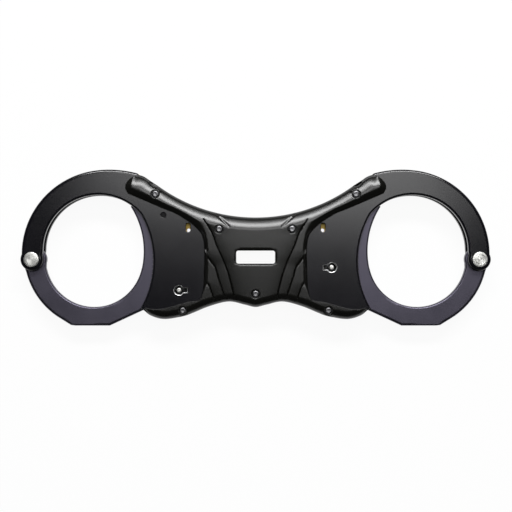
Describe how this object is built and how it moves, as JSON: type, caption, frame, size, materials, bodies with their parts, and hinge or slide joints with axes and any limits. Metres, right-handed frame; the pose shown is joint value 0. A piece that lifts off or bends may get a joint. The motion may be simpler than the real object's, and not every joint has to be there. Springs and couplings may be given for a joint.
{
  "type": "rigid handcuffs",
  "caption": "Rigid handcuffs: swing-through cuffs with toothed single strands and double cheek plates, held by a moulded centre grip with a window.",
  "frame": {"origin": "centre of the object's box in X and Y, at the face of the back cover that it lies on", "axes": "+X from the left cuff to the right cuff, +Y to the grip's hollow upper edge, +Z out of the front cover"},
  "size_m": [0.2576, 0.0856, 0.018],
  "materials": {
    "grip_polymer": "moulded glass-filled polyamide, fine satin texture",
    "black_anodised": "black anodised, satin",
    "black_steel": "black oxide over bead-blasted steel, satin",
    "bright_steel": "turned stainless steel",
    "pawl_steel": "hardened steel, ground",
    "spring_steel": "blue-grey spring leaf",
    "black_screw_steel": "black oxide",
    "insert_brass": "knurled, plain",
    "amber_polymer": "moulded acetal",
    "core_aluminium": "machined"
  },
  "bodies": {
    "frame": {"front_cover": "grip_polymer", "back_cover": "grip_polymer", "core_frame": "core_aluminium", "cover_screws": "black_screw_steel", "threaded_inserts": "insert_brass", "left_front_cheek": "black_anodised", "left_back_cheek": "black_anodised", "left_pivot_rivet": "bright_steel", "left_lock_case": "amber_polymer", "left_pawl_pin": "black_screw_steel", "left_pawl_springs": "spring_steel", "left_double_lock_spring": "spring_steel", "left_front_key_post": "bright_steel", "left_back_key_post": "bright_steel", "left_frame_pins": "pawl_steel", "right_front_cheek": "black_anodised", "right_back_cheek": "black_anodised", "right_pivot_rivet": "bright_steel", "right_lock_case": "amber_polymer", "right_pawl_pin": "black_screw_steel", "right_pawl_springs": "spring_steel", "right_double_lock_spring": "spring_steel", "right_front_key_post": "bright_steel", "right_back_key_post": "bright_steel", "right_frame_pins": "pawl_steel"},
    "left_strand": {"left_strand": "black_steel"},
    "left_pawl_front": {"left_pawl_front": "pawl_steel"},
    "left_pawl_middle": {"left_pawl_middle": "pawl_steel"},
    "left_pawl_back": {"left_pawl_back": "pawl_steel"},
    "left_double_lock_bar": {"left_double_lock_bar": "amber_polymer"},
    "right_strand": {"right_strand": "black_steel"},
    "right_pawl_front": {"right_pawl_front": "pawl_steel"},
    "right_pawl_middle": {"right_pawl_middle": "pawl_steel"},
    "right_pawl_back": {"right_pawl_back": "pawl_steel"},
    "right_double_lock_bar": {"right_double_lock_bar": "amber_polymer"}
  },
  "joints": [
    {"name": "left_strand_swing", "type": "hinge", "parent": "frame", "child": "left_strand", "pos_m": [-0.1226, -0.00633, 0.009], "axis": [0, 0, 1], "continuous": true},
    {"name": "left_pawl_front_turn", "type": "hinge", "parent": "frame", "child": "left_pawl_front", "pos_m": [-0.0504, 0.01787, 0.009], "axis": [0, 0, 1], "range_deg": [-4.2, 0], "stiffness_Nm_per_rad": 0.02, "springref_deg": -6.3},
    {"name": "left_pawl_middle_turn", "type": "hinge", "parent": "frame", "child": "left_pawl_middle", "pos_m": [-0.0504, 0.01787, 0.009], "axis": [0, 0, 1], "range_deg": [-4.2, 0], "stiffness_Nm_per_rad": 0.02, "springref_deg": -6.3},
    {"name": "left_pawl_back_turn", "type": "hinge", "parent": "frame", "child": "left_pawl_back", "pos_m": [-0.0504, 0.01787, 0.009], "axis": [0, 0, 1], "range_deg": [-4.2, 0], "stiffness_Nm_per_rad": 0.02, "springref_deg": -6.3},
    {"name": "left_double_lock_slide", "type": "slide", "parent": "frame", "child": "left_double_lock_bar", "axis": [0, 1, 0], "range_m": [0, 0.0025]},
    {"name": "right_strand_swing", "type": "hinge", "parent": "frame", "child": "right_strand", "pos_m": [0.1226, -0.00633, 0.009], "axis": [0, 0, -1], "continuous": true},
    {"name": "right_pawl_front_turn", "type": "hinge", "parent": "frame", "child": "right_pawl_front", "pos_m": [0.0504, 0.01787, 0.009], "axis": [0, 0, -1], "range_deg": [-4.2, 0], "stiffness_Nm_per_rad": 0.02, "springref_deg": -6.3},
    {"name": "right_pawl_middle_turn", "type": "hinge", "parent": "frame", "child": "right_pawl_middle", "pos_m": [0.0504, 0.01787, 0.009], "axis": [0, 0, -1], "range_deg": [-4.2, 0], "stiffness_Nm_per_rad": 0.02, "springref_deg": -6.3},
    {"name": "right_pawl_back_turn", "type": "hinge", "parent": "frame", "child": "right_pawl_back", "pos_m": [0.0504, 0.01787, 0.009], "axis": [0, 0, -1], "range_deg": [-4.2, 0], "stiffness_Nm_per_rad": 0.02, "springref_deg": -6.3},
    {"name": "right_double_lock_slide", "type": "slide", "parent": "frame", "child": "right_double_lock_bar", "axis": [0, 1, 0], "range_m": [0, 0.0025]}
  ]
}
